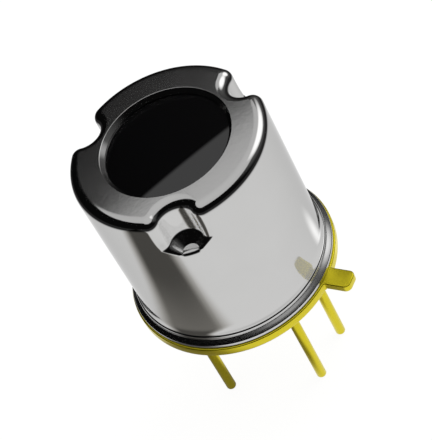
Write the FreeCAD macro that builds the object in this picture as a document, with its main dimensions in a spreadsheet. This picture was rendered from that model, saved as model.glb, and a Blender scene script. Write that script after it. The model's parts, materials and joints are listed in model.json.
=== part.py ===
import FreeCAD, Part

import math
import os

import Sketcher

# A thermopile infrared sensor in a round metal can.
# The origin is the centre of the header's underside, +Z runs along the can's axis to the
# aperture, and +X points to the locating tab. All lengths are millimetres, angles degrees.

SIZES = [
    # Header, the plated base disc that everything stands on
    ("header_overhang", 0.08),
    ("header_thickness", 0.43),
    ("header_bevel", 0.04),
    ("platform_clearance", 0.17),
    ("platform_rise", 0.62),
    ("tab_length", 1.13),
    ("tab_width", 0.86),
    ("tab_thickness", 0.36),
    ("tab_corner", 0.28),
    ("tab_bevel", 0.05),
    # Can, drawn from one sheet
    ("can_radius", 4.17),
    ("can_height", 8.05),
    ("sheet_thickness", 0.30),
    ("rim_round", 0.43),
    ("hollow_bevel", 0.09),
    ("window_lap", 0.33),
    ("aperture_round", 0.28),
    ("flange_overhang", 0.32),
    ("flange_thickness", 0.21),
    ("flange_bevel", 0.07),
    ("step_overhang", 0.12),
    ("step_height", 0.58),
    ("step_bevel", 0.04),
    ("foot_slope", 0.06),
    # Crimps, pressed inwards from the rim by a round punch with a bevelled tip
    ("crimp_count", 3),
    ("crimp_turn", 60),
    ("crimp_radius", 0.75),
    ("crimp_depth", 0.87),
    ("crimp_length", 2.07),
    ("crimp_bevel", 0.41),
    ("crimp_edge_round", 0.44),
    # Infrared window, bonded under the roof between the crimps
    ("window_clearance", 0.05),
    ("window_thickness", 0.50),
    ("window_bond_thickness", 0.05),
    ("window_bond_margin", 0.06),
    ("window_bond_inset", 0.12),
    # Leads and their glass seals
    ("lead_radius", 0.22),
    ("near_lead_angle", 23.3),
    ("far_lead_angle", 116.3),
    ("lead_drop", 6.02),
    ("lead_rise", 0.45),
    ("lead_tip_bevel", 0.05),
    ("seal_radius", 0.55),
    ("seal_margin", 0.25),
    ("braze_radius", 0.42),
    ("braze_height", 0.20),
    ("braze_depth", 0.10),
    # Thermopile chip and what is laid down on it
    ("chip_bond_thickness", 0.03),
    ("chip_width", 2.00),
    ("chip_thickness", 0.40),
    ("etch_base", 1.66),
    ("etch_top", 1.10),
    ("membrane_thickness", 0.02),
    ("absorber_width", 0.50),
    ("absorber_thickness", 0.03),
    ("couple_count", 5),
    ("couple_pitch", 0.09),
    ("couple_width", 0.05),
    ("couple_length", 0.50),
    ("couple_gap", 0.02),
    ("film_thickness", 0.02),
    ("pad_width", 0.20),
    ("pad_inset_x", 0.15),
    ("pad_inset_y", 0.30),
    # Reference chip, which reads the header's own temperature
    ("reference_width", 0.70),
    ("reference_thickness", 0.30),
    ("reference_offset", 2.20),
    # Bond wires
    ("wire_radius", 0.03),
    ("wire_loop_rise", 0.90),
    ("wire_corner", 0.12),
]

doc = FreeCAD.newDocument("thermopile_sensor")
sheet = doc.addObject("Spreadsheet::Sheet", "Sizes")
for row, (alias, number) in enumerate(SIZES, start=1):
    sheet.set(f"A{row}", alias)
    sheet.set(f"B{row}", str(number))
    sheet.setAlias(f"B{row}", alias)
doc.recompute()


def size(alias):
    """The value of one named size."""
    return float(sheet.get(alias))


def bound(text):
    """An expression on the sheet's names, written with the names alone."""
    for alias, _ in SIZES:
        text = text.replace(f"<{alias}>", f"Sizes.{alias}")
    return text


def bind(thing, **expressions):
    """Ties properties to the sheet; a double underscore stands for a dot."""
    for name, text in expressions.items():
        thing.setExpression(name.replace("__", "."), bound(text))


# Radii and heights that several pieces share, as expressions
FLANGE_RADIUS = "(<can_radius> + <flange_overhang>)"
STEP_RADIUS = "(<can_radius> + <step_overhang>)"
HEADER_RADIUS = f"({FLANGE_RADIUS} + <header_overhang>)"
PLATFORM_RADIUS = "(<can_radius> - <sheet_thickness> - <platform_clearance>)"
LEAD_CIRCLE = f"({PLATFORM_RADIUS} - <seal_radius> - <seal_margin>)"
CAN_FOOT = "<header_thickness>"
CAN_TOP = "(<header_thickness> + <can_height>)"
CRIMP_FLOOR = f"({CAN_TOP} - <crimp_length>)"
CRIMP_CENTRE = "(<can_radius> - <crimp_depth> + <crimp_radius>)"
PLATFORM_TOP = "(<header_thickness> + <platform_rise>)"
CHIP_BASE = f"({PLATFORM_TOP} + <chip_bond_thickness>)"
CHIP_TOP = f"({CHIP_BASE} + <chip_thickness>)"
FILM_BASE = f"({CHIP_TOP} + <membrane_thickness>)"
WINDOW_TOP = f"({CAN_TOP} - <sheet_thickness> - <window_bond_thickness>)"
WINDOW_RADIUS = "(<can_radius> - <crimp_depth> - <sheet_thickness> - <window_clearance>)"
APERTURE_RADIUS = f"({WINDOW_RADIUS} - <window_lap>)"

flange_radius = size("can_radius") + size("flange_overhang")
step_radius = size("can_radius") + size("step_overhang")
header_radius = flange_radius + size("header_overhang")
platform_radius = size("can_radius") - size("sheet_thickness") - size("platform_clearance")
lead_circle = platform_radius - size("seal_radius") - size("seal_margin")
aperture_radius = (size("can_radius") - size("crimp_depth") - size("sheet_thickness")
                   - size("window_clearance") - size("window_lap"))
can_top = size("header_thickness") + size("can_height")
crimp_floor = can_top - size("crimp_length")
platform_top = size("header_thickness") + size("platform_rise")
film_base = (platform_top + size("chip_bond_thickness") + size("chip_thickness")
             + size("membrane_thickness"))
TOUCH = 1e-4


def origin_plane(body, role):
    return next(f for f in body.Origin.OriginFeatures if f.Role == role)


def new_sketch(body, name, role):
    sketch = body.newObject("Sketcher::SketchObject", name)
    sketch.AttachmentSupport = (origin_plane(body, role), [""])
    sketch.MapMode = "FlatFace"
    return sketch


def place_point(sketch, geometry, end, across, up):
    """Ties one point of a sketch to expressions for its two coordinates."""
    for kind, text, axis in (("DistanceX", across, -2), ("DistanceY", up, -1)):
        if text == "0":
            sketch.addConstraint(Sketcher.Constraint("PointOnObject", geometry, end, axis))
            continue
        point = sketch.getPoint(geometry, end)
        start = point.x if kind == "DistanceX" else point.y
        index = sketch.addConstraint(Sketcher.Constraint(kind, -1, 1, geometry, end, start))
        sketch.setExpression(f"Constraints[{index}]", bound(text))


def outline(body, name, role, corners):
    """A closed outline of straight lines, each corner given as two expressions."""
    sketch = new_sketch(body, name, role)
    count = len(corners)
    rough = []
    for k in range(count):
        turn = 2 * math.pi * k / count
        rough.append(FreeCAD.Vector(6 + 3 * math.cos(turn), 6 + 3 * math.sin(turn), 0))
    for k in range(count):
        sketch.addGeometry(Part.LineSegment(rough[k], rough[(k + 1) % count]), False)
    for k in range(count):
        sketch.addConstraint(Sketcher.Constraint("Coincident", k, 2, (k + 1) % count, 1))
    for k, (across, up) in enumerate(corners):
        place_point(sketch, k, 1, across, up)
    return sketch


def circles(body, name, role, places):
    """Circles, each given as centre and radius expressions."""
    sketch = new_sketch(body, name, role)
    for k, (across, up, radius) in enumerate(places):
        centre = FreeCAD.Vector(1 + 3 * k, 1, 0)
        sketch.addGeometry(Part.Circle(centre, FreeCAD.Vector(0, 0, 1), 1), False)
        place_point(sketch, k, 3, across, up)
        index = sketch.addConstraint(Sketcher.Constraint("Radius", k, 1))
        sketch.setExpression(f"Constraints[{index}]", bound(radius))
    return sketch


def revolve(body, name, sketch):
    feature = body.newObject("PartDesign::Revolution", name)
    feature.Profile = sketch
    feature.ReferenceAxis = (sketch, ["V_Axis"])
    feature.Angle = 360
    doc.recompute()
    return feature


def around_axis(body, name, features):
    """Repeats features once for each crimp."""
    pattern = body.newObject("PartDesign::PolarPattern", name)
    pattern.Originals = features
    pattern.Axis = (origin_plane(body, "Z_Axis"), [""])
    pattern.Angle = 360
    bind(pattern, Occurrences="<crimp_count>")
    body.Tip = pattern
    doc.recompute()
    return pattern


def edges_that(base, test):
    """The names of the base's edges that pass the test."""
    names = [f"Edge{k}" for k, edge in enumerate(base.Shape.Edges, start=1) if test(edge)]
    if not names:
        raise RuntimeError(f"{base.Label} has no such edge")
    return names


def round_edges(body, name, base, test, radius):
    fillet = body.newObject("PartDesign::Fillet", name)
    fillet.Base = (base, edges_that(base, test))
    bind(fillet, Radius=radius)
    body.Tip = fillet
    doc.recompute()
    return fillet


def bevel_edges(body, name, base, test, width):
    chamfer = body.newObject("PartDesign::Chamfer", name)
    chamfer.Base = (base, edges_that(base, test))
    bind(chamfer, Size=width)
    body.Tip = chamfer
    doc.recompute()
    return chamfer


def radial(point):
    return math.hypot(point.x, point.y)


def ring_at(radius, height):
    """A test for the full circle of this radius at this height."""
    def test(edge):
        curve = edge.Curve
        return (isinstance(curve, Part.Circle) and abs(curve.Radius - radius) < TOUCH
                and abs(curve.Center.z - height) < TOUCH and radial(curve.Center) < TOUCH)
    return test


def rings_at(radius, heights):
    """A test for the full circles of this radius at any of these heights."""
    return lambda edge: any(ring_at(radius, height)(edge) for height in heights)


def upright_at(radius):
    """A test for upright straight edges at this radius that reach the roof."""
    def test(edge):
        if not isinstance(edge.Curve, Part.Line):
            return False
        low, high = sorted((v.Point for v in edge.Vertexes), key=lambda p: p.z)
        return (radial(high - low) < TOUCH and high.z > crimp_floor + size("crimp_length") / 2
                and abs(radial(low) - radius) < 0.01)
    return test


def flat_at(height, beyond):
    """A test for edges that lie at this height, outside a radius."""
    def test(edge):
        return all(abs(v.Z - height) < TOUCH and radial(v.Point) > beyond for v in edge.Vertexes)
    return test


def make_crimp_tool():
    """What the crimps take out of the can's outer form: a round punch with a bevelled tip."""
    body = doc.addObject("PartDesign::Body", "CrimpTool")
    body.AllowCompound = True
    tip = body.newObject("PartDesign::AdditiveCone", "PunchTip")
    tip.AttachmentSupport = [(origin_plane(body, "XY_Plane"), "")]
    tip.MapMode = "FlatFace"
    bind(tip, Radius1="<crimp_radius> - <crimp_bevel>", Radius2="<crimp_radius>",
         Height="<crimp_bevel>", AttachmentOffset__Base__x=CRIMP_CENTRE,
         AttachmentOffset__Base__z=CRIMP_FLOOR)
    body.Tip = tip
    doc.recompute()

    section = circles(body, "CrimpSection", "XY_Plane", [(CRIMP_CENTRE, "0", "<crimp_radius>")])
    bind(section, AttachmentOffset__Base__z=f"{CRIMP_FLOOR} + <crimp_bevel>")
    before = body.Tip.Shape.Volume
    groove = body.newObject("PartDesign::Pad", "Groove")
    groove.Profile = section
    bind(groove, Length="<crimp_length> - <crimp_bevel>")
    body.Tip = groove
    doc.recompute()
    if groove.Shape.Volume < before + TOUCH:
        raise RuntimeError("the crimp's punch has no shank")
    around_axis(body, "CrimpTools", [tip, groove])
    return body


def cut_crimps(body, top, radius):
    """Upright round cuts from the top down to one sheet thickness below the crimps' floor."""
    floor = f"{CRIMP_FLOOR} - <sheet_thickness>"
    sketch = circles(body, "CrimpSection", "XY_Plane", [(CRIMP_CENTRE, "0", radius)])
    bind(sketch, AttachmentOffset__Base__z=floor)
    before = body.Tip.Shape.Volume
    cut = body.newObject("PartDesign::Pocket", "CrimpCut")
    cut.Profile = sketch
    cut.Reversed = True
    bind(cut, Length=f"{top} - ({floor})")
    doc.recompute()
    if cut.Shape.Volume > before - TOUCH:
        raise RuntimeError("the crimp cuts nothing")
    return around_axis(body, "CrimpCuts", [cut])


def make_can():
    """The can: its outer form less its hollow, which follows it one sheet thickness inside."""
    outer = doc.addObject("PartDesign::Body", "CanOuter")
    profile = outline(outer, "CanProfile", "XZ_Plane", [
        (APERTURE_RADIUS, CAN_FOOT),
        (FLANGE_RADIUS, CAN_FOOT),
        (FLANGE_RADIUS, f"{CAN_FOOT} + <flange_thickness>"),
        (STEP_RADIUS, f"{CAN_FOOT} + <flange_thickness>"),
        (STEP_RADIUS, f"{CAN_FOOT} + <step_height>"),
        ("<can_radius>", f"{CAN_FOOT} + <step_height>"),
        ("<can_radius>", CAN_TOP),
        (APERTURE_RADIUS, CAN_TOP),
    ])
    revolve(outer, "CanTurned", profile)
    before = outer.Tip.Shape.Volume
    crimped = outer.newObject("PartDesign::Boolean", "Crimped")
    crimped.Type = "Cut"
    crimped.addObjects([make_crimp_tool()])
    outer.Tip = crimped
    doc.recompute()
    if crimped.Shape.Volume > before - TOUCH:
        raise RuntimeError("the crimps cut nothing")

    foot = size("header_thickness")
    step_top = foot + size("step_height")
    flange_top = foot + size("flange_thickness")
    rounded = round_edges(outer, "CrimpEdges", crimped,
                          upright_at(size("can_radius")), "<crimp_edge_round>")
    rounded = round_edges(outer, "Rim", rounded,
                          flat_at(can_top, aperture_radius + size("aperture_round")),
                          "<rim_round>")
    rounded = round_edges(outer, "ApertureEdge", rounded,
                          ring_at(aperture_radius, can_top), "<aperture_round>")
    sloped = bevel_edges(outer, "FootSlope", rounded,
                         ring_at(size("can_radius"), step_top), "<foot_slope>")
    sloped = bevel_edges(outer, "StepBevel", sloped,
                         ring_at(step_radius, step_top), "<step_bevel>")
    bevel_edges(outer, "FlangeBevel", sloped,
                rings_at(flange_radius, [foot, flange_top]), "<flange_bevel>")

    hollow = doc.addObject("PartDesign::Body", "CanHollow")
    roof = f"{CAN_TOP} - <sheet_thickness>"
    profile = outline(hollow, "HollowProfile", "XZ_Plane", [
        ("0", CAN_FOOT),
        ("<can_radius> - <sheet_thickness>", CAN_FOOT),
        ("<can_radius> - <sheet_thickness>", roof),
        ("0", roof),
    ])
    revolve(hollow, "HollowTurned", profile)
    crimped = cut_crimps(hollow, roof, "<crimp_radius> + <sheet_thickness>")
    inner_radius = size("can_radius") - size("sheet_thickness")
    rounded = round_edges(hollow, "HollowCrimpEdges", crimped,
                          upright_at(inner_radius),
                          "<crimp_edge_round> - <sheet_thickness>")
    bevel_edges(hollow, "HollowRim", rounded,
                flat_at(can_top - size("sheet_thickness"), 0), "<hollow_bevel>")

    can = doc.addObject("Part::Cut", "Can")
    can.Base = outer
    can.Tool = hollow
    can.Label = "can"
    can.Placement = FreeCAD.Placement(FreeCAD.Vector(),
                                      FreeCAD.Rotation(FreeCAD.Vector(0, 0, 1), size("crimp_turn")))
    bind(can, Placement__Rotation__Angle="<crimp_turn> * 1 deg")
    return can


def make_window():
    """The infrared window, a plain disc that the crimps centre."""
    window = doc.addObject("Part::Cylinder", "Window")
    window.Label = "window"
    bind(window, Radius=WINDOW_RADIUS, Height="<window_thickness>",
         Placement__Base__z=f"{WINDOW_TOP} - <window_thickness>")
    return window


def make_window_bond():
    """The ring of adhesive between the window and the roof."""
    disc = doc.addObject("Part::Cylinder", "WindowBondDisc")
    bind(disc, Radius=f"{WINDOW_RADIUS} - <window_bond_inset>", Height="<window_bond_thickness>",
         Placement__Base__z=WINDOW_TOP)
    hole = doc.addObject("Part::Cylinder", "WindowBondHole")
    bind(hole, Radius=f"{APERTURE_RADIUS} + <window_bond_margin>",
         Height="<window_bond_thickness>", Placement__Base__z=WINDOW_TOP)
    bond = doc.addObject("Part::Cut", "WindowBond")
    bond.Base = disc
    bond.Tool = hole
    bond.Label = "window_bond"
    return bond


def lead_place(side, near):
    """Expressions for the centre of one lead on the lead circle."""
    angle = "<near_lead_angle>" if near else "<far_lead_angle>"
    across = f"{LEAD_CIRCLE} * cos({angle} * 1 deg)"
    along = f"{side} * {LEAD_CIRCLE} * sin({angle} * 1 deg)"
    return across, along


LEADS = {
    # name: side of the tab's line, near the tab, sealed in glass
    "positive_lead": (1, True, True),
    "negative_lead": (-1, True, True),
    "reference_lead": (-1, False, True),
    "ground_lead": (1, False, False),
}


def cut_holes(body, name, places, radius, depth):
    """Round holes up into the header from its underside."""
    holes = circles(body, name, "XY_Plane",
                    [(across, along, radius) for across, along in places])
    before = body.Tip.Shape.Volume
    cut = body.newObject("PartDesign::Pocket", name + "Cut")
    cut.Profile = holes
    cut.Reversed = True
    bind(cut, Length=depth)
    body.Tip = cut
    doc.recompute()
    if cut.Shape.Volume > before - TOUCH:
        raise RuntimeError(f"{name} cuts nothing")


def make_header():
    """The header: flange, raised platform, tab, three seal holes and a recess for the braze."""
    body = doc.addObject("PartDesign::Body", "Header")
    body.Label = "header"
    profile = outline(body, "HeaderProfile", "XZ_Plane", [
        ("0", "0"),
        (HEADER_RADIUS, "0"),
        (HEADER_RADIUS, "<header_thickness>"),
        (PLATFORM_RADIUS, "<header_thickness>"),
        (PLATFORM_RADIUS, PLATFORM_TOP),
        ("0", PLATFORM_TOP),
    ])
    turned = revolve(body, "HeaderTurned", profile)
    bevelled = bevel_edges(body, "HeaderBevel", turned,
                           rings_at(header_radius, [0, size("header_thickness")]),
                           "<header_bevel>")
    bevel_edges(body, "PlatformBevel", bevelled, ring_at(platform_radius, platform_top),
                "<header_bevel>")

    reach = f"({HEADER_RADIUS} + <tab_length>)"
    root = f"({HEADER_RADIUS} - <header_bevel> - <tab_corner>)"
    outline_of_tab = outline(body, "TabOutline", "XY_Plane", [
        (root, "-<tab_width> / 2"),
        (f"{reach} - <tab_corner>", "-<tab_width> / 2"),
        (reach, "-<tab_width> / 2 + <tab_corner>"),
        (reach, "<tab_width> / 2 - <tab_corner>"),
        (f"{reach} - <tab_corner>", "<tab_width> / 2"),
        (root, "<tab_width> / 2"),
    ])
    bind(outline_of_tab, AttachmentOffset__Base__z="<header_thickness> - <tab_thickness>")
    tab = body.newObject("PartDesign::Pad", "Tab")
    tab.Profile = outline_of_tab
    bind(tab, Length="<tab_thickness>")
    body.Tip = tab
    doc.recompute()

    def tab_edge(edge):
        ends = [v.X for v in edge.Vertexes]
        level = abs(edge.Vertexes[0].Z - edge.Vertexes[-1].Z) < TOUCH
        return (level and min(ends) > header_radius - size("header_bevel") - TOUCH
                and max(ends) > header_radius + size("tab_length") - size("tab_corner") - TOUCH)

    bevel_edges(body, "TabBevel", tab, tab_edge, "<tab_bevel>")
    sealed = [lead_place(side, near) for side, near, glass in LEADS.values() if glass]
    cut_holes(body, "SealHoles", sealed, "<seal_radius>", PLATFORM_TOP)
    side, near, _ = LEADS["ground_lead"]
    cut_holes(body, "BrazeRecess", [lead_place(side, near)], "<braze_radius>", "<braze_depth>")
    return body


def make_lead(name, side, near, glass):
    """One round wire with a bevelled tip; the ungrounded ones pass up through the header."""
    body = doc.addObject("PartDesign::Body", name.title().replace("_", ""))
    body.Label = name
    top = f"{PLATFORM_TOP} + <lead_rise>" if glass else "0"
    profile = outline(body, "Profile", "XZ_Plane", [
        ("0", "-<lead_drop>"),
        ("<lead_radius>", "-<lead_drop>"),
        ("<lead_radius>", top),
        ("0", top),
    ])
    turned = revolve(body, "Turned", profile)
    bevel_edges(body, "TipBevel", turned, ring_at(size("lead_radius"), -size("lead_drop")),
                "<lead_tip_bevel>")
    across, along = lead_place(side, near)
    bind(body, Placement__Base__x=across, Placement__Base__y=along)
    return body


def make_seal(name, side, near):
    """The glass that holds one lead and keeps it off the header."""
    across, along = lead_place(side, near)
    glass = doc.addObject("Part::Cylinder", name.title().replace("_", "") + "Glass")
    bind(glass, Radius="<seal_radius>", Height=PLATFORM_TOP,
         Placement__Base__x=across, Placement__Base__y=along)
    bore = doc.addObject("Part::Cylinder", name.title().replace("_", "") + "Bore")
    bind(bore, Radius="<lead_radius>", Height=PLATFORM_TOP,
         Placement__Base__x=across, Placement__Base__y=along)
    seal = doc.addObject("Part::Cut", name.title().replace("_", ""))
    seal.Base = glass
    seal.Tool = bore
    seal.Label = name
    return seal


def make_braze():
    """The braze that fills the header's recess and slopes down round the ground lead's end."""
    body = doc.addObject("PartDesign::Body", "GroundBraze")
    body.Label = "ground_braze"
    profile = outline(body, "BrazeProfile", "XZ_Plane", [
        ("0", "0"),
        ("<lead_radius>", "0"),
        ("<lead_radius>", "-<braze_height>"),
        ("<lead_radius> + <lead_tip_bevel>", "-<braze_height>"),
        ("<braze_radius>", "0"),
        ("<braze_radius>", "<braze_depth>"),
        ("0", "<braze_depth>"),
    ])
    revolve(body, "BrazeTurned", profile)
    side, near, _ = LEADS["ground_lead"]
    across, along = lead_place(side, near)
    bind(body, Placement__Base__x=across, Placement__Base__y=along)
    return body


def make_block(name, length, width, height, base, centre_x="0", centre_y="0"):
    """A flat rectangular piece centred on a point, standing on the base height."""
    block = doc.addObject("Part::Box", name.title().replace("_", ""))
    block.Label = name
    bind(block, Length=length, Width=width, Height=height,
         Placement__Base__x=f"{centre_x} - {length} / 2",
         Placement__Base__y=f"{centre_y} - {width} / 2",
         Placement__Base__z=base)
    return block


def make_thermopile_chip():
    """The silicon frame, etched hollow from below so that only the membrane spans its middle."""
    block = make_block("thermopile_block", "<chip_width>", "<chip_width>", "<chip_thickness>",
                       CHIP_BASE)
    etch = doc.addObject("Part::Wedge", "Etch")
    bind(etch, Xmin="-<etch_base> / 2", Xmax="<etch_base> / 2",
         Zmin="-<etch_base> / 2", Zmax="<etch_base> / 2",
         X2min="-<etch_top> / 2", X2max="<etch_top> / 2",
         Z2min="-<etch_top> / 2", Z2max="<etch_top> / 2",
         Ymin="0 * <chip_thickness>", Ymax="<chip_thickness>")
    etch.Placement = FreeCAD.Placement(FreeCAD.Vector(),
                                       FreeCAD.Rotation(FreeCAD.Vector(1, 0, 0), 90))
    bind(etch, Placement__Base__z=CHIP_BASE)
    chip = doc.addObject("Part::Cut", "ThermopileChip")
    chip.Base = block
    chip.Tool = etch
    chip.Label = "thermopile_chip"
    return chip


def make_thermocouples():
    """The film strips that run from the absorber out over the frame, the same on four sides."""
    count = int(size("couple_count"))
    start = size("absorber_width") / 2 + size("couple_gap")
    strips = []
    for quarter in range(4):
        turn = FreeCAD.Rotation(FreeCAD.Vector(0, 0, 1), 90 * quarter)
        for k in range(count):
            across = (k - (count - 1) / 2) * size("couple_pitch") - size("couple_width") / 2
            strip = doc.addObject("Part::Box", f"Couple{quarter}{k}")
            bind(strip, Length="<couple_length>", Width="<couple_width>", Height="<film_thickness>")
            corner = turn.multVec(FreeCAD.Vector(start, across, film_base))
            strip.Placement = FreeCAD.Placement(corner, turn)
            strips.append(strip)
    group = doc.addObject("Part::Compound", "Thermocouples")
    group.Links = strips
    group.Label = "thermocouples"
    return group


PAD_X = "(<chip_width> / 2 - <pad_inset_x>)"
PAD_Y = "(<chip_width> / 2 - <pad_inset_y>)"


def make_pads():
    """The two contact pads on the thermopile chip."""
    pads = []
    for name, side in (("positive_pad", ""), ("negative_pad", "-")):
        pads.append(make_block(name, "<pad_width>", "<pad_width>", "<film_thickness>", FILM_BASE,
                               PAD_X, f"{side}{PAD_Y}"))
    group = doc.addObject("Part::Compound", "ChipPads")
    group.Links = pads
    group.Label = "chip_pads"
    return group


def make_wire(name, start, end):
    """A bond wire: up from one contact, level across, and down on the next."""
    loop = platform_top + size("wire_loop_rise")
    corner = size("wire_corner")
    up = FreeCAD.Vector(0, 0, 1)
    along = FreeCAD.Vector(end.x - start.x, end.y - start.y, 0)
    along.normalize()
    first = FreeCAD.Vector(start.x, start.y, loop)
    last = FreeCAD.Vector(end.x, end.y, loop)
    path = Part.makePolygon([start, first - up * corner, first + along * corner,
                             last - along * corner, last - up * corner, end])
    section = Part.Wire(Part.Circle(start, up, size("wire_radius")).toShape())
    wire = doc.addObject("Part::Feature", name.title().replace("_", ""))
    wire.Label = name
    wire.Shape = path.makePipeShell([section], True, False, 1)
    return wire


def lead_top(name):
    side, near, _ = LEADS[name]
    angle = math.radians(size("near_lead_angle") if near else size("far_lead_angle"))
    return FreeCAD.Vector(lead_circle * math.cos(angle), side * lead_circle * math.sin(angle),
                          platform_top + size("lead_rise"))


can = make_can()
header = make_header()
parts = [can, make_window(), make_window_bond(), header]
for name, (side, near, glass) in LEADS.items():
    parts.append(make_lead(name, side, near, glass))
    if glass:
        parts.append(make_seal(name.replace("lead", "seal"), side, near))
parts.append(make_braze())

parts.append(make_block("chip_bond", "<chip_width>", "<chip_width>", "<chip_bond_thickness>",
                        PLATFORM_TOP))
parts.append(make_thermopile_chip())
parts.append(make_block("membrane", "<chip_width>", "<chip_width>", "<membrane_thickness>",
                        CHIP_TOP))
parts.append(make_thermocouples())
parts.append(make_block("absorber", "<absorber_width>", "<absorber_width>",
                        "<absorber_thickness>", FILM_BASE))
parts.append(make_pads())
parts.append(make_block("reference_bond", "<reference_width>", "<reference_width>",
                        "<chip_bond_thickness>", PLATFORM_TOP, "-<reference_offset>"))
parts.append(make_block("reference_chip", "<reference_width>", "<reference_width>",
                        "<reference_thickness>", CHIP_BASE, "-<reference_offset>"))

pad_x = size("chip_width") / 2 - size("pad_inset_x")
pad_y = size("chip_width") / 2 - size("pad_inset_y")
pad_top = film_base + size("film_thickness")
reference_top = platform_top + size("chip_bond_thickness") + size("reference_thickness")
parts.append(make_wire("positive_wire", FreeCAD.Vector(pad_x, pad_y, pad_top),
                       lead_top("positive_lead")))
parts.append(make_wire("negative_wire", FreeCAD.Vector(pad_x, -pad_y, pad_top),
                       lead_top("negative_lead")))
parts.append(make_wire("reference_wire",
                       FreeCAD.Vector(-size("reference_offset"), 0, reference_top),
                       lead_top("reference_lead")))
doc.recompute()

for thing in doc.Objects:
    if "Invalid" in thing.State or "Error" in thing.State:
        raise RuntimeError(f"{thing.Label} failed: {thing.State}")
for part in parts:
    if part.Shape.isNull() or not part.Shape.isValid() or not part.Shape.Solids:
        raise RuntimeError(f"{part.Label} has no valid solid")

os.makedirs("parts", exist_ok=True)
for part in parts:
    part.Shape.exportStep(f"parts/{part.Label}.step")
    print(part.Label, len(part.Shape.Solids), round(part.Shape.Volume, 4))
print(len(parts), "nodes")
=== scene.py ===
import bmesh
import bpy
import json
import math
from mathutils import Matrix, Vector


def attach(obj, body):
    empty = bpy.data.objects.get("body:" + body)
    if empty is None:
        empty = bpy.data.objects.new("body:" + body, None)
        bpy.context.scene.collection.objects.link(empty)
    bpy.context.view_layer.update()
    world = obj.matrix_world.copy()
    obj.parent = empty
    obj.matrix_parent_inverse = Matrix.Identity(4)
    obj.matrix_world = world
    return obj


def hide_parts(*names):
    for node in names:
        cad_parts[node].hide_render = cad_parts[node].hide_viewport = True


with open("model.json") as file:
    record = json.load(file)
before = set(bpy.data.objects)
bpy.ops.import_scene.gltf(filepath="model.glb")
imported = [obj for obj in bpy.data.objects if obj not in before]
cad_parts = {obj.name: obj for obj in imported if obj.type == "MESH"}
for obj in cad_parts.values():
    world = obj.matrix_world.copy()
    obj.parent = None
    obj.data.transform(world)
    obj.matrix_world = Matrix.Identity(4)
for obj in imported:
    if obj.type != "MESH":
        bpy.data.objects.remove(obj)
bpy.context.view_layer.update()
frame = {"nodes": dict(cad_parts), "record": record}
mm = 0.001  # pieces are modelled in millimetres and scaled once, when they are finished
scene = bpy.context.scene
print("frame loaded:", len(frame["nodes"]), "nodes")


class Link:
    # one output of a node; sums, products and so on with it add their Math nodes
    def __init__(self, graph, socket):
        self.graph, self.socket = graph, socket

    def maths(self, operation, first, second):
        return self.graph.node("ShaderNodeMath", {"operation": operation}, {0: first, 1: second})

    def __add__(self, other):
        return self.maths("ADD", self, other)

    def __sub__(self, other):
        return self.maths("SUBTRACT", self, other)

    def __rsub__(self, other):
        return self.maths("SUBTRACT", other, self)

    def __mul__(self, other):
        return self.maths("MULTIPLY", self, other)

    __radd__, __rmul__ = __add__, __mul__

    def __abs__(self):
        return self.graph.node("ShaderNodeMath", {"operation": "ABSOLUTE"}, {0: self})

    def largest(self, other):
        return self.maths("MAXIMUM", self, other)


class Graph:
    # the node tree of one material or world
    def __init__(self, owner):
        owner.use_nodes = True
        self.tree = owner.node_tree
        self.tree.nodes.clear()

    def node(self, kind, settings=None, sockets=None, out=0):
        made = self.tree.nodes.new(kind)
        for key, value in (settings or {}).items():
            setattr(made, key, value)
        for key, value in (sockets or {}).items():
            if isinstance(value, Link):
                self.tree.links.new(value.socket, made.inputs[key])
            else:
                made.inputs[key].default_value = value
        return Link(self, made.outputs[out]) if made.outputs else made

    def place(self, scale=(1, 1, 1)):
        where = self.node("ShaderNodeTexCoord", out="Object")
        return self.node("ShaderNodeMapping", None, {"Vector": where, "Scale": scale})

    def noise(self, where, scale, detail):
        return self.node("ShaderNodeTexNoise", None, {
            "Vector": where, "Scale": scale, "Detail": detail})

    def ramp(self, value, low, high, toLow=0.0, toHigh=1.0):
        return self.node("ShaderNodeMapRange", {"interpolation_type": "SMOOTHSTEP"}, {
            "Value": value, "From Min": low, "From Max": high, "To Min": toLow, "To Max": toHigh})

    def blend(self, factor, first, second):
        return self.node("ShaderNodeMix", {"data_type": "RGBA"}, {
            0: factor, 6: (*first, 1), 7: (*second, 1)}, out=2)

    def vectors(self, operation, first, second=(0, 0, 0), out="Value"):
        return self.node("ShaderNodeVectorMath", {"operation": operation}, {0: first, 1: second}, out)

    def bump(self, height, strength, depth):
        return self.node("ShaderNodeBump", None, {
            "Height": height, "Strength": strength, "Distance": depth * mm})

    def seen(self):
        # 1 for a ray from the camera
        return self.node("ShaderNodeLightPath", out="Is Camera Ray")

    def mirrored(self):
        # 1 for a mirrored ray
        return self.node("ShaderNodeLightPath", out="Is Glossy Ray")

    def height(self):
        return self.node("ShaderNodeSeparateXYZ", None, {0: self.place()}, out="Z")

    def fromAxis(self):
        level = self.vectors("MULTIPLY", self.place(), (1, 1, 0), out="Vector")
        return self.vectors("LENGTH", level)

    def metFromBelow(self, surely=-0.6, hardly=-0.4):
        # 1 where a ray meets a face from below, judged by how far the face looks up
        normal = self.node("ShaderNodeNewGeometry", out="Normal")
        return self.ramp(self.vectors("DOT_PRODUCT", normal, (0, 0, 1)), surely, hardly, 1.0, 0.0)

    def surface(self, sockets, through=None):
        # ends the tree in one shader; through is the share of rays that pass it
        shader = self.node("ShaderNodeBsdfPrincipled", None, sockets)
        if through is not None:
            clear = self.node("ShaderNodeBsdfTransparent")
            shader = self.node("ShaderNodeMixShader", None, {0: through, 1: shader, 2: clear})
        self.node("ShaderNodeOutputMaterial", None, {"Surface": shader})


def heading(azimuthDeg, elevationDeg=0.0):
    # unit vector towards an azimuth and elevation
    azimuth, elevation = math.radians(azimuthDeg), math.radians(elevationDeg)
    return Vector((math.cos(azimuth) * math.cos(elevation),
                   math.sin(azimuth) * math.cos(elevation), math.sin(elevation)))


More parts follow.
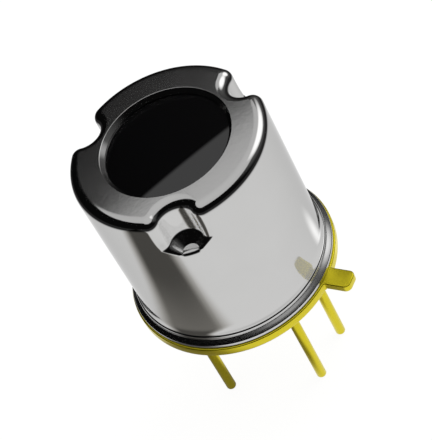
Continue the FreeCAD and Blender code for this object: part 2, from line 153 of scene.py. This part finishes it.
camera = {
    "azimuth": 47.0, "elevation": 46.92, "roll": 29.42,
    "imageWidth": 432, "imageHeight": 440, "focalPixels": 1871.0, "sensor": 36.0,
    "baseAcross": 235.32, "baseDown": 265.65,  # centre of the base in the picture
    "pixelsPerMm": 23.45, "nearest": 1.0, "farthest": 10000.0,
}


def makeCamera(c):
    back = heading(c["azimuth"] - 90, c["elevation"])
    ahead = -back
    level = ahead.cross(Vector((0, 0, 1))).normalized()
    below = ahead.cross(level)
    roll = math.radians(c["roll"])
    right = level * math.cos(roll) + below * math.sin(roll)
    down = below * math.cos(roll) - level * math.sin(roll)
    depth = c["focalPixels"] / c["pixelsPerMm"]
    across = (c["baseAcross"] - c["imageWidth"] / 2) / c["pixelsPerMm"]
    lower = (c["baseDown"] - c["imageHeight"] / 2) / c["pixelsPerMm"]
    eye = -(right * across + down * lower + ahead * depth)
    data = bpy.data.cameras.new("camera")
    data.sensor_width = c["sensor"]
    data.lens = c["focalPixels"] * c["sensor"] / max(c["imageWidth"], c["imageHeight"])
    data.clip_start, data.clip_end = c["nearest"] * mm, c["farthest"] * mm
    made = bpy.data.objects.new("camera", data)
    scene.collection.objects.link(made)
    turn = Matrix((right, -down, back)).transposed().to_4x4()
    made.matrix_world = Matrix.Translation(eye * mm) @ turn
    scene.camera = made


makeCamera(camera)
scene.view_settings.view_transform = "Standard"
print("camera placed")


studio = {
    "plainLight": 0.72, "darkLight": 0.004,
    # what the metal mirrors overhead and aside: a wide cap of light, a bright soft box and its halo
    "capTowards": (65.3, 83.0), "capRadius": 43.3, "capEdge": 0.07, "capLight": 0.71, "capMiddle": 0.06,
    "boxTowards": (69.0, 39.0), "boxInner": 5.0, "boxOuter": 30.0, "boxLight": 1.9,
    "haloInner": 10.0, "haloOuter": 60.0, "haloLight": 0.13,
    "floorHeight": -6.02, "floorHalf": 400.0, "floorColour": 0.8,
    "floorWhite": 1.08, "floorShare": 0.85,  # the camera sees this much white, and the rest shaded
    # what the metal mirrors below: a pool of light, a shadow across it and a bright spot near the tab
    "poolInner": 17.0, "poolOuter": 38.0, "poolDark": 0.03,
    "shadowTowards": -110.0, "shadowInner": 3.4, "shadowOuter": 7.0, "shadowStart": 2.0,
    "nearEnd": 8.0, "farStart": 14.0, "shadowNear": 0.74, "shadowFar": 0.90,
    "shadowColour": (1.0, 0.96, 0.88),
    "glowCentre": (5.5, 7.9), "glowRadius": 2.0, "glowLight": 0.85,
    "lampTowards": (70.0, 55.0), "lampDistance": 110.0, "lampSize": 90.0, "lampPower": 0.045,
}


def makeWorld(s):
    world = bpy.data.worlds.new("studio")
    scene.world = world
    world.cycles.sampling_method = "NONE"
    g = Graph(world)
    seen, mirrored = g.seen(), g.mirrored()
    towards = g.node("ShaderNodeTexCoord", out="Generated")

    def patch(centre, inner, outer):
        # 1 within an angle of a direction, and 0 beyond a wider one
        facing = g.vectors("DOT_PRODUCT", towards, tuple(heading(*centre)))
        return g.ramp(facing, math.cos(math.radians(outer)), math.cos(math.radians(inner)))

    radius, edge = s["capRadius"], s["capEdge"]
    cap = (patch(s["capTowards"], radius - edge, radius + edge) * s["capLight"]
           + patch(s["capTowards"], 0, radius) * s["capMiddle"])
    box = patch(s["boxTowards"], s["boxInner"], s["boxOuter"]) * s["boxLight"]
    halo = patch(s["boxTowards"], s["haloInner"], s["haloOuter"]) * s["haloLight"]
    lights = cap.largest(box).largest(halo) + s["darkLight"]
    strength = seen + mirrored * lights + (1 - seen - mirrored) * s["plainLight"]
    sky = g.node("ShaderNodeBackground", None, {"Color": (1, 1, 1, 1), "Strength": strength})
    g.node("ShaderNodeOutputWorld", None, {"Surface": sky})


def makeFloor(s):
    bm = bmesh.new()
    bmesh.ops.create_grid(bm, x_segments=1, y_segments=1, size=s["floorHalf"] * mm)
    bmesh.ops.translate(bm, vec=(0, 0, s["floorHeight"] * mm), verts=bm.verts)
    mesh = bpy.data.meshes.new("floor")
    bm.to_mesh(mesh)
    bm.free()
    floor = bpy.data.objects.new("floor", mesh)
    scene.collection.objects.link(floor)

    material = bpy.data.materials.new("pale floor")
    g = Graph(material)
    material.cycles.emission_sampling = "NONE"
    seen, mirrored = g.seen(), g.mirrored()
    spot = g.place()

    def across(value, inner, outer, toInner=1.0, toOuter=0.0):
        return g.ramp(value, inner * mm, outer * mm, toInner, toOuter)

    pool = across(g.vectors("LENGTH", spot), s["poolInner"], s["poolOuter"], 1.0, s["poolDark"])
    along = g.vectors("DOT_PRODUCT", spot, tuple(heading(s["shadowTowards"])))
    aside = abs(g.vectors("DOT_PRODUCT", spot, tuple(heading(s["shadowTowards"] + 90))))
    shadow = (across(aside, s["shadowInner"], s["shadowOuter"])
              * across(along, 0, s["shadowStart"], 0.0, 1.0))
    dark = shadow * across(along, s["nearEnd"], s["farStart"], s["shadowNear"], s["shadowFar"])
    glowAt = tuple(Vector((*s["glowCentre"], s["floorHeight"])) * mm)
    glow = across(g.vectors("DISTANCE", spot, glowAt), 0, s["glowRadius"]) * s["glowLight"]

    colour = g.blend(shadow * mirrored, (1, 1, 1), s["shadowColour"])
    strength = seen * s["floorWhite"] + mirrored * (pool * (1 - dark) + glow)
    shaded = g.node("ShaderNodeBsdfDiffuse", None, {"Color": (*[s["floorColour"]] * 3, 1)})
    shining = g.node("ShaderNodeEmission", None, {"Color": colour, "Strength": strength})
    mixed = g.node("ShaderNodeMixShader", None, {
        0: seen * s["floorShare"] + mirrored, 1: shaded, 2: shining})
    g.node("ShaderNodeOutputMaterial", None, {"Surface": mixed})
    mesh.materials.append(material)


def makeLamp(s):
    towards = heading(*s["lampTowards"])
    data = bpy.data.lights.new("soft lamp", "AREA")
    data.shape = "DISK"
    data.size = s["lampSize"] * mm
    data.energy = s["lampPower"]
    lamp = bpy.data.objects.new("soft lamp", data)
    scene.collection.objects.link(lamp)
    lamp.matrix_world = (Matrix.Translation(towards * s["lampDistance"] * mm)
                         @ towards.to_track_quat("Z", "Y").to_matrix().to_4x4())
    lamp.visible_glossy = False  # the metal mirrors the world's soft lights instead


makeWorld(studio)
makeFloor(studio)
makeLamp(studio)
print("studio set up")


nickelFinish = {
    "colours": ((0.545, 0.542, 0.536), (0.585, 0.583, 0.578)), "edgeTint": 0.72,
    # each pattern has its scale and detail, and drawn is the fine lines left by the drawing die
    "cloud": (420, 4), "drawn": (5200, 3), "drawnStretch": 0.03, "grain": (9000, 2),
    "roughness": 0.055, "cloudRoughness": 0.03, "drawnRoughness": 0.02,
    "footRoughness": 0.08, "footFull": 0.85, "footNone": 0.95,
    "drawnBump": 0.6, "grainBump": 0.4, "bumpStrength": 0.10, "bumpDepth": 0.004,
    "clearNone": 1.4, "clearFull": 1.5, "clearShare": 0.95,
}


def nickel(name, f):
    material = bpy.data.materials.new(name)
    g = Graph(material)
    cloud = g.noise(g.place(), *f["cloud"])
    drawn = g.noise(g.place((1, 1, f["drawnStretch"])), *f["drawn"])
    grain = g.noise(g.place(), *f["grain"])
    foot = g.ramp(g.height(), f["footFull"] * mm, f["footNone"] * mm, 1.0, 0.0)
    relief = drawn * f["drawnBump"] + grain * f["grainBump"]
    # the crimps hardly mirror themselves, so they stay as light inside as the wall
    clear = g.mirrored() * g.ramp(g.height(), f["clearNone"] * mm, f["clearFull"] * mm)
    g.surface({
        "Base Color": g.blend(cloud, *f["colours"]), "Metallic": 1.0,
        "Specular Tint": (*[f["edgeTint"]] * 3, 1),
        "Roughness": (f["roughness"] + cloud * f["cloudRoughness"] + drawn * f["drawnRoughness"]
                      + foot * f["footRoughness"]),
        "Normal": g.bump(relief, f["bumpStrength"], f["bumpDepth"]),
    }, through=clear * f["clearShare"])
    return material


goldFinish = {
    "colours": ((0.70, 0.60, 0.016), (0.62, 0.52, 0.010)),
    "cloud": (900, 4), "lines": (6000, 3), "lineRoughness": 0.08,
    "coat": 0.25, "coatRoughness": 0.25, "bumpStrength": 0.14, "bumpDepth": 0.006,
    "insideFull": 3.90, "insideNone": 3.95, "underNone": -0.03, "underFull": -0.01,
    "tabNone": 4.72, "tabFull": 4.82, "tabShare": 0.7,
}


def gold(name, f, roughness, streak=(1, 1, 1)):
    material = bpy.data.materials.new(name)
    g = Graph(material)
    cloud = g.noise(g.place(), *f["cloud"])
    lines = g.noise(g.place(streak), *f["lines"])
    # nothing mirrors the gold inside the closed can, and the wall mirrors the tab only faintly
    inside = (g.ramp(g.height(), f["underNone"] * mm, f["underFull"] * mm)
              * g.ramp(g.fromAxis(), f["insideFull"] * mm, f["insideNone"] * mm, 1.0, 0.0)
              * (1 - g.metFromBelow()))
    tab = g.ramp(g.fromAxis(), f["tabNone"] * mm, f["tabFull"] * mm) * f["tabShare"]
    g.surface({
        "Base Color": g.blend(cloud, *f["colours"]), "Metallic": 1.0,
        "Roughness": roughness + lines * f["lineRoughness"],
        "Coat Weight": f["coat"], "Coat Roughness": f["coatRoughness"],
        "Normal": g.bump(lines, f["bumpStrength"], f["bumpDepth"]),
    }, through=g.mirrored() * inside.largest(tab))
    return material


windowFinish = {
    "colours": ((0.0003, 0.0003, 0.0004), (0.0006, 0.0005, 0.0008)), "haze": (260, 2),
    "roughness": 0.004, "hazeRoughness": 0.004, "index": 1.62,
}


def windowBlack(name, f):
    material = bpy.data.materials.new(name)
    g = Graph(material)
    haze = g.noise(g.place(), *f["haze"])
    g.surface({
        "Base Color": g.blend(haze, *f["colours"]), "Metallic": 0.0,
        "Roughness": f["roughness"] + haze * f["hazeRoughness"], "IOR": f["index"],
    }, through=g.mirrored() * g.metFromBelow())
    return material


glassFinish = {
    "colours": ((0.012, 0.022, 0.018), (0.035, 0.055, 0.045)), "depth": (2600, 3),
    "bubbleScale": 9000, "roughness": 0.06, "depthRoughness": 0.06,
    "index": 1.52, "bumpStrength": 0.12, "bumpDepth": 0.01,
}


def sealGlass(name, f):
    material = bpy.data.materials.new(name)
    g = Graph(material)
    depth = g.noise(g.place(), *f["depth"])
    bubbles = g.node("ShaderNodeTexVoronoi", None, {
        "Vector": g.place(), "Scale": f["bubbleScale"]}, out="Distance")
    g.surface({
        "Base Color": g.blend(depth, *f["colours"]), "Metallic": 0.0,
        "Roughness": f["roughness"] + depth * f["depthRoughness"], "IOR": f["index"],
        "Normal": g.bump(bubbles, f["bumpStrength"], f["bumpDepth"]),
    })
    return material


grainFinish = {"detail": 4, "bumpStrength": 0.3, "bumpDepth": 0.004}


def grained(name, *colours, roughness, scale, metallic=0.0, spread=0.1, stretch=(1, 1, 1)):
    # a plain finish with a fine grain, for the pieces inside the can
    f = grainFinish
    material = bpy.data.materials.new(name)
    g = Graph(material)
    grain = g.noise(g.place(stretch), scale, f["detail"])
    g.surface({
        "Base Color": g.blend(grain, *colours), "Metallic": metallic,
        "Roughness": roughness + grain * spread,
        "Normal": g.bump(grain, f["bumpStrength"], f["bumpDepth"]),
    })
    return material


finishes = {
    "can_metal": nickel("nickel", nickelFinish),
    "gold_plate": gold("gold plate", goldFinish, roughness=0.27),
    "window_silicon": windowBlack("infrared window", windowFinish),
    "seal_glass": sealGlass("seal glass", glassFinish),
    "braze": gold("braze", goldFinish, roughness=0.36),
    "adhesive": grained("adhesive", (0.030, 0.030, 0.032), (0.060, 0.058, 0.055),
                        roughness=0.45, scale=5000),
    "silicon": grained("sawn silicon", (0.10, 0.10, 0.115), (0.15, 0.15, 0.165),
                       roughness=0.25, scale=9000, metallic=0.6, spread=0.15, stretch=(1, 1, 12)),
    "film": grained("dielectric film", (0.20, 0.15, 0.32), (0.28, 0.24, 0.38),
                    roughness=0.12, scale=3000, metallic=0.3),
    "film_metal": grained("metal film", (0.76, 0.76, 0.78), (0.84, 0.84, 0.85),
                          roughness=0.18, scale=12000, metallic=1.0),
    "absorber_black": grained("absorber", (0.006, 0.006, 0.006), (0.014, 0.013, 0.013),
                              roughness=0.80, scale=16000, spread=0.15),
    "bond_gold": grained("bond wire gold", (0.80, 0.62, 0.14), (0.88, 0.72, 0.20),
                         roughness=0.20, scale=9000, metallic=1.0),
}
leadGold = gold("lead gold", goldFinish, roughness=0.26, streak=(1, 1, 0.04))
print("materials made:", len(finishes) + 1)

together = 2e-5  # points this near each other are one


def loft(bm, rings, close=False):
    # extrudes a closed loop of edges from each ring of points to the next
    verts = [bm.verts.new(p) for p in rings[0]]
    edges = [bm.edges.new(pair) for pair in zip(verts, verts[1:] + verts[:1])]
    for points in rings[1:] + (rings[:1] if close else []):
        order = {tuple(v.co): k for k, v in enumerate(verts)}
        for v in bmesh.ops.extrude_edge_only(bm, edges=edges)["geom"]:
            if isinstance(v, bmesh.types.BMVert):
                verts[order[tuple(v.co)]] = v
        edges = [bm.edges.get(pair) for pair in zip(verts, verts[1:] + verts[:1])]
        for v, p in zip(verts, points):
            v.co = p


def spinProfile(bm, centre, profile, steps, close=False):
    # turns a profile of radii and heights round an upright line
    verts = [bm.verts.new((centre[0] + r, centre[1], z)) for r, z in profile]
    ends = verts[1:] + (verts[:1] if close else [])
    edges = [bm.edges.new(pair) for pair in zip(verts, ends)]
    bmesh.ops.spin(bm, geom=verts + edges, cent=(*centre, 0), axis=(0, 0, 1),
                   angle=2 * math.pi, steps=steps, use_merge=True)


def fillLevel(bm, low, high=None):
    # closes what is still open at one height, or between two
    top = (low if high is None else high) + together
    edges = [e for e in bm.edges
             if e.is_boundary and all(low - together < v.co.z < top for v in e.verts)]
    bmesh.ops.triangle_fill(bm, use_beauty=True, use_dissolve=False, edges=edges)


def arc(centre, radius, startDeg, endDeg, steps):
    # points along an arc in its own plane, both ends included
    turns = (math.radians(startDeg + (endDeg - startDeg) * k / steps) for k in range(steps + 1))
    return [(centre[0] + radius * math.cos(t), centre[1] + radius * math.sin(t)) for t in turns]


def quarterTurn(steps):
    # angles from 0 to a quarter turn, both ends included
    return [math.pi / 2 * k / steps for k in range(steps + 1)]


def finishPiece(name, bm, slotName, nodes, sharpDeg, material=None):
    bmesh.ops.remove_doubles(bm, verts=bm.verts, dist=together)
    bmesh.ops.recalc_face_normals(bm, faces=bm.faces)
    bmesh.ops.scale(bm, vec=(mm, mm, mm), verts=bm.verts)
    for f in bm.faces:
        f.smooth = True
    for e in bm.edges:
        if len(e.link_faces) == 2 and e.calc_face_angle(0) > math.radians(sharpDeg):
            e.smooth = False
    mesh = bpy.data.meshes.new(name)
    bm.to_mesh(mesh)
    bm.free()
    mesh.materials.append(material or finishes[slotName])
    piece = bpy.data.objects.new(name, mesh)
    scene.collection.objects.link(piece)
    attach(piece, "root")
    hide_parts(*nodes)
    print("made", name, len(mesh.polygons), "faces")


can = {
    "radius": 4.17, "top": 8.48, "sheet": 0.30, "support": 0.05, "sharpDeg": 32,
    "rimRound": 0.43, "rimSteps": 14, "innerRimSteps": 5, "roofMargin": 0.06,
    "apertureRadius": 2.62, "apertureBevel": 0.165, "apertureDrop": 0.19, "apertureEdge": 0.004,
    "roofUnder": 8.18, "roofEdge": (0.02, 0.01),
    "crimpAngles": (60, 180, 300), "crimpRadius": 0.75, "crimpDepth": 0.87, "crimpSteps": 36,
    "wallSteps": 54, "innerFall": 0.2,
    # the corners beside a crimp tighten towards its foot
    "cornerRound": 0.44, "cornerLow": 0.32, "cornerFoot": 0.09, "cornerLeast": 0.13, "cornerSteps": 14,
    # the punch had a bevelled tip with a flat end
    "crimpFloor": 6.41, "punchTip": 0.34, "bevelTop": 6.82, "foldAbove": 0.10, "foldRound": 0.035,
    "sideSteps": 6, "bevelSteps": 14, "floorSteps": 10, "edgeRound": 0.17, "edgeSteps": 7,
    # the foot flares into a step, and the welding flange slopes away from it
    "wallFoot": [(4.17, 1.42), (4.171, 1.34), (4.175, 1.26), (4.184, 1.18), (4.199, 1.10),
                 (4.219, 1.03), (4.2315, 0.98)],
    "stepCentre": (4.18, 0.88), "stepRound": 0.11, "stepDeg": 62, "stepSteps": 8, "stepLow": 0.80,
    "hollowRound": 0.03, "hollowSteps": 6, "hollowSupport": 0.015,
    "flangeSlope": 40.3, "flangeStart": 4.462, "flangeRadius": 4.49, "flangeBase": 0.43,
    "flangeRound": 0.03, "flangeSteps": 5, "flangeLip": 0.006, "lipFall": 1.2,
    "baseSupport": 0.02, "baseEdge": (0.03, 0.02),
}


def crimpPlan(c, inset, crimpRadius=None, cornerRound=None):
    # plan of one crimp and the wall after it, inset from the outside; the crimp lies across the X axis
    centre = c["radius"] - c["crimpDepth"] + c["crimpRadius"]
    groove = (crimpRadius or c["crimpRadius"]) + inset
    rounding = math.hypot(max((cornerRound or c["cornerRound"]) - inset, 0), c["cornerLeast"])
    wall = c["radius"] - inset
    corner, reach = wall - rounding, groove + rounding
    at = math.acos((corner ** 2 + centre ** 2 - reach ** 2) / (2 * corner * centre))
    cornerX, cornerY = corner * math.cos(at), corner * math.sin(at)
    # from the centre of the crimp's round to the centre of the corner's
    towards = math.degrees(math.atan2(cornerY, cornerX - centre))
    lower = arc((cornerX, -cornerY), rounding, -math.degrees(at), 180 - towards, c["cornerSteps"])
    back = arc((centre, 0), groove, 360 - towards, towards, c["crimpSteps"])
    upper = [(x, -y) for x, y in reversed(lower)]
    spacing = 360 / len(c["crimpAngles"])
    rest = arc((0, 0), wall, math.degrees(at), spacing - math.degrees(at), c["wallSteps"])
    return lower[:-1] + back + upper[1:] + rest[1:-1]


def footProfile(c):
    # section from the wall down the flare, step and flange, and in under the flange to the inner wall
    radius, base, flange = c["radius"], c["flangeBase"], c["flangeRadius"]
    points = [(radius, c["wallFoot"][0][1] + c["support"])] + c["wallFoot"]
    points += arc(c["stepCentre"], c["stepRound"], c["stepDeg"], 0, c["stepSteps"])
    hollowAt = (c["stepCentre"][0] + c["stepRound"] + c["hollowRound"], c["stepLow"])
    points += arc(hollowAt, c["hollowRound"], 180, 270 - c["flangeSlope"], c["hollowSteps"])
    startR, startZ = points[-1]
    slope = math.tan(math.radians(c["flangeSlope"]))
    for r in (startR + c["hollowSupport"], (startR + c["flangeStart"]) / 2, c["flangeStart"]):
        points.append((r, startZ - (r - startR) * slope))
    low = points[-1][1] - (flange - c["flangeStart"]) * c["lipFall"]
    points += [(flange - c["flangeLip"], low + 2 * c["flangeLip"]), (flange, low)]
    points += arc((flange - c["flangeRound"], base + c["flangeRound"]), c["flangeRound"],
                  0, -90, c["flangeSteps"])
    inner, (across, up) = radius - c["sheet"], c["baseEdge"]
    return points + [(flange - c["flangeRound"] - c["baseSupport"], base), (inner + across, base),
                     (inner, base + up)]


def apertureProfile(c):
    # section from the roof's underside up the aperture's wall and bevel to the top
    hole, top, edge = c["apertureRadius"], c["top"], c["apertureEdge"]
    bevel, drop, under = c["apertureBevel"], c["apertureDrop"], c["roofUnder"]
    rise = edge * drop / bevel
    across, up = c["roofEdge"]
    return [(hole + across, under), (hole, under + up),
            (hole, top - drop - 2 * edge), (hole, top - drop - edge),
            (hole + edge, top - drop + rise), (hole + 2 * edge, top - drop + 2 * rise),
            (hole + bevel - 2 * edge, top - 2 * rise), (hole + bevel - edge, top - rise),
            (hole + bevel + edge, top), (hole + bevel + 2 * edge, top)]


def makeCan(c):
    dentCount = 2 * c["cornerSteps"] + c["crimpSteps"] + 1  # points of the plan that are the crimp's
    radius, rim, sheet = c["radius"], c["rimRound"], c["sheet"]
    shoulder = c["top"] - rim

    def around(points):
        # repeats the points of one crimp for all of them
        placed = []
        for angle in c["crimpAngles"]:
            turn = Matrix.Rotation(math.radians(angle), 4, "Z")
            placed += [turn @ Vector(p) for p in points]
        return placed

    def crimped(inset, height, crimpRadius=None, cornerRound=None):
        return around([(x, y, height) for x, y in crimpPlan(c, inset, crimpRadius, cornerRound)])

    def circle(radius, height, plan):
        # a level circle whose points keep the directions of a plan
        return around([(x * radius / math.hypot(x, y), y * radius / math.hypot(x, y), height)
                       for x, y in plan])

    def between(first, second, share):
        return [p.lerp(q, share) for p, q in zip(first, second)]

    def crimpBevel():
        # rings down the groove and the bevel at its foot
        rings = []
        depth, width = c["bevelTop"] - c["crimpFloor"], c["crimpRadius"] - c["punchTip"]
        high, start = shoulder - c["support"], c["bevelTop"] + c["foldAbove"]
        for k in range(1, c["sideSteps"]):
            share = k / c["sideSteps"]
            corner = c["cornerRound"] + (c["cornerLow"] - c["cornerRound"]) * share ** 3
            rings.append(crimped(0, high + (start - high) * share, None, corner))
        for k in range(c["bevelSteps"] + 1):
            height = start - (depth + c["foldAbove"]) * k / c["bevelSteps"]
            beyond = c["bevelTop"] - height
            gone = min((beyond + math.hypot(beyond, c["foldRound"])) / 2 * width / depth, width)
            corner = c["cornerLow"] + (c["cornerFoot"] - c["cornerLow"]) * gone / width
            rings.append(crimped(0, height, c["crimpRadius"] - gone, corner))
        return rings

    def crimpFloor(plan, wall):
        # rings out over the punch's flat mark and round its edge into the wall
        edge = c["edgeRound"]
        flat = 1 - edge / max(out[0] - p[0] for p, out in zip(plan, wall))
        steps = [(flat * k / c["floorSteps"], 0.0) for k in range(1, c["floorSteps"] + 1)]
        steps += [(1 - (1 - flat) * (1 - math.sin(turn)), edge * (1 - math.cos(turn)))
                  for turn in quarterTurn(c["edgeSteps"])[1:]]
        return [around([(x + (outX - x) * share, y, c["crimpFloor"] - drop)
                        for (x, y), (outX, _) in zip(plan, wall)]) for share, drop in steps]

    rings = [crimped(rim * (1 - math.sin(turn)), shoulder + rim * math.cos(turn))
             for turn in quarterTurn(c["rimSteps"])]
    rings.append(crimped(0, shoulder - c["support"]))
    rings += crimpBevel()
    plan = crimpPlan(c, 0, c["punchTip"], c["cornerFoot"])
    wall = [(math.sqrt(radius ** 2 - y ** 2), y) if k < dentCount else (x, y)
            for k, (x, y) in enumerate(plan)]  # the crimp pushed straight out to the wall
    rings += crimpFloor(plan, wall)
    below = c["crimpFloor"] - c["edgeRound"] - c["support"]
    rings.append(circle(radius, below, wall))
    rings += [circle(r, z, wall) for r, z in footProfile(c)]
    rings.append(circle(radius - sheet, below - sheet - c["innerFall"], wall))
    rings.append(crimped(sheet, below - sheet))
    rings.append(crimped(sheet, shoulder - c["support"]))
    inner = rim - sheet
    rings += [crimped(sheet + inner * (1 - math.cos(turn)), shoulder + inner * math.sin(turn))
              for turn in quarterTurn(c["innerRimSteps"])]
    rings += [circle(r, z, crimpPlan(c, 0)) for r, z in apertureProfile(c)]
    edge, outside, margin = rings[-1], rings[0], c["roofMargin"]
    rings += [between(edge, outside, margin), between(edge, outside, 1 - margin)]

    bm = bmesh.new()
    loft(bm, rings, close=True)
    finishPiece("canShell", bm, "can_metal", ["can"], c["sharpDeg"])


makeCan(can)


header = {
    "radius": 4.57, "thickness": 0.43, "edgeRound": 0.06, "edgeSteps": 5, "discSteps": 120,
    "tabReach": 5.70, "tabHalf": 0.43, "tabCorner": 0.26, "tabRoot": 0.09, "tabSteps": 8,
    # the tab's underside stands a little higher than the disc's
    "tabFoot": 0.07, "footStart": 0.02, "footRun": 0.05,
    "platformRadius": 3.70, "platformTop": 1.05, "platformRound": 0.08, "platformSteps": 5,
    "platformFoot": 0.03, "weldRadius": 4.06,
    "holeRadius": 0.55, "holeRound": 0.04, "holeEasing": 0.3, "holeSteps": 32,
    "recessRadius": 0.42, "recessDepth": 0.10, "recessEdge": 0.02, "sharpDeg": 50,
    "leadCircle": 2.90,
    "leadAngles": {"positive": 23.3, "negative": -23.3, "reference": -116.3, "ground": 116.3},
}

leads = {
    "radius": 0.22, "tip": -6.02, "tipRound": 0.13, "tipSteps": 7, "sealedTop": 1.50, "topEdge": 0.04,
    "steps": 28, "sharpDeg": 60,
    # the glass is drawn up the lead and the hole's wall: distance from either, and height
    "glassAtLead": [(0.0, 0.0), (0.03, 0.035), (0.09, 0.06)],
    "glassAtWall": [(0.09, 0.06), (0.02, 0.03), (0.0, 0.0)],
    "collarFoot": -0.20, "collarTop": 0.10, "collarSteps": 6, "collarReach": 0.995,
}


def tabPlan(c, inset):
    # plan of the disc with its tab along +X, inset from the outside
    radius, half = c["radius"] - inset, c["tabHalf"] - inset
    corner, root = c["tabCorner"] - inset, c["tabRoot"] + inset
    reach = c["tabReach"] - inset
    rootY = half + root
    rootX = math.sqrt((radius + root) ** 2 - rootY ** 2)
    at = math.degrees(math.atan2(rootY, rootX))
    upper = arc((reach - corner, half - corner), corner, 0, 90, c["tabSteps"])
    upper += arc((rootX, rootY), root, 270, 180 + at, c["tabSteps"])
    disc = arc((0, 0), radius, at, 360 - at, c["discSteps"])
    lower = [(x, -y) for x, y in reversed(upper)]
    return upper[:-1] + disc + lower[1:]


def makeHeader(c, places):
    bm = bmesh.new()
    thick, edge = c["thickness"], c["edgeRound"]
    rounds = [(edge * (1 - math.sin(t)), edge * (1 - math.cos(t))) for t in quarterTurn(c["edgeSteps"])]

    def side(inset, z):
        lift = c["tabFoot"] * max(0.0, 1 - z / thick)
        placed = []
        for x, y in tabPlan(c, inset):
            share = (math.hypot(x, y) - c["radius"] - c["footStart"]) / c["footRun"]
            placed.append((x, y, z + lift * min(max(share, 0), 1)))
        return placed

    sides = rounds + [(inset, thick - z) for inset, z in reversed(rounds)]
    loft(bm, [side(inset, z) for inset, z in sides])

    radius, top, platformRound = c["platformRadius"], c["platformTop"], c["platformRound"]
    platform = [(c["weldRadius"], thick), (radius + c["platformFoot"], thick),
                (radius, thick + c["platformFoot"])]
    platform += arc((radius - platformRound, top - platformRound), platformRound,
                    0, 90, c["platformSteps"])
    spinProfile(bm, (0, 0), platform, c["discSteps"])

    hole, holeRound = c["holeRadius"], c["holeRound"]
    eased = holeRound * c["holeEasing"]
    holeWall = [(hole + holeRound, 0), (hole + eased, eased), (hole, holeRound),
                (hole, top - holeRound), (hole + holeRound, top)]
    recess, recessEdge = c["recessRadius"], c["recessEdge"]
    recessWall = [(recess + recessEdge, 0), (recess, recessEdge), (recess, c["recessDepth"])]
    for name, centre in places.items():
        spinProfile(bm, centre, recessWall if name == "ground" else holeWall, c["holeSteps"])

    fillLevel(bm, thick)
    fillLevel(bm, c["recessDepth"])
    fillLevel(bm, top)
    fillLevel(bm, 0, c["tabFoot"])
    finishPiece("headerPlate", bm, "gold_plate", ["header"], c["sharpDeg"])


def makeLead(c, name, centre, top):
    bm = bmesh.new()
    tip, radius = c["tipRound"], c["radius"]
    profile = arc((radius - tip, c["tip"] + tip), tip, 270, 360, c["tipSteps"])
    profile += [(radius, top - c["topEdge"]), (radius - c["topEdge"], top)]
    spinProfile(bm, centre, profile, c["steps"])
    fillLevel(bm, c["tip"])
    fillLevel(bm, top)
    finishPiece(name + "Wire", bm, "gold_plate", [name + "_lead"], c["sharpDeg"], leadGold)


def makeSeal(c, h, name, centre):
    bm = bmesh.new()
    hollow = [(c["radius"] + r, z) for r, z in c["glassAtLead"]]
    hollow += [(h["holeRadius"] - r, z) for r, z in c["glassAtWall"]]
    profile = hollow + [(r, h["platformTop"] - z) for r, z in reversed(hollow)]
    spinProfile(bm, centre, profile, h["holeSteps"], close=True)
    finishPiece(name + "Glass", bm, "seal_glass", [name + "_seal"], c["sharpDeg"])


def makeBraze(c, h, centre):
    # a pad in the header's recess that runs down the ground lead as a collar
    bm = bmesh.new()
    lead, reach = c["radius"], h["recessRadius"]
    profile = [(reach, c["collarTop"]), (reach, 0.0)]
    for t in quarterTurn(c["collarSteps"])[1:]:
        inward = (reach - lead) * math.sin(t) * c["collarReach"]  # stops just short of the lead
        profile.append((reach - inward, c["collarFoot"] * (1 - math.cos(t))))
    profile += [(lead, c["collarFoot"]), (lead, 0.0)]
    spinProfile(bm, centre, profile, h["holeSteps"])
    fillLevel(bm, c["collarTop"])
    fillLevel(bm, 0)
    finishPiece("groundBraze", bm, "braze", ["ground_braze"], c["sharpDeg"])


leadPlaces = {name: tuple(heading(angle) * header["leadCircle"])[:2]
              for name, angle in header["leadAngles"].items()}
makeHeader(header, leadPlaces)
for name, centre in leadPlaces.items():
    if name != "ground":
        makeLead(leads, name, centre, leads["sealedTop"])
        makeSeal(leads, header, name, centre)
makeLead(leads, "ground", leadPlaces["ground"], 0.0)
makeBraze(leads, header, leadPlaces["ground"])

slotNames = {part["node"]: part["material_slot"] for part in frame["record"]["subparts"]}
for name, node in frame["nodes"].items():
    if not node.hide_render:
        for holder in node.material_slots:
            holder.material = finishes[slotNames[name]]
        node.visible_glossy = name == "window"  # nothing mirrors what the closed can hides
print("inner pieces given their finishes")
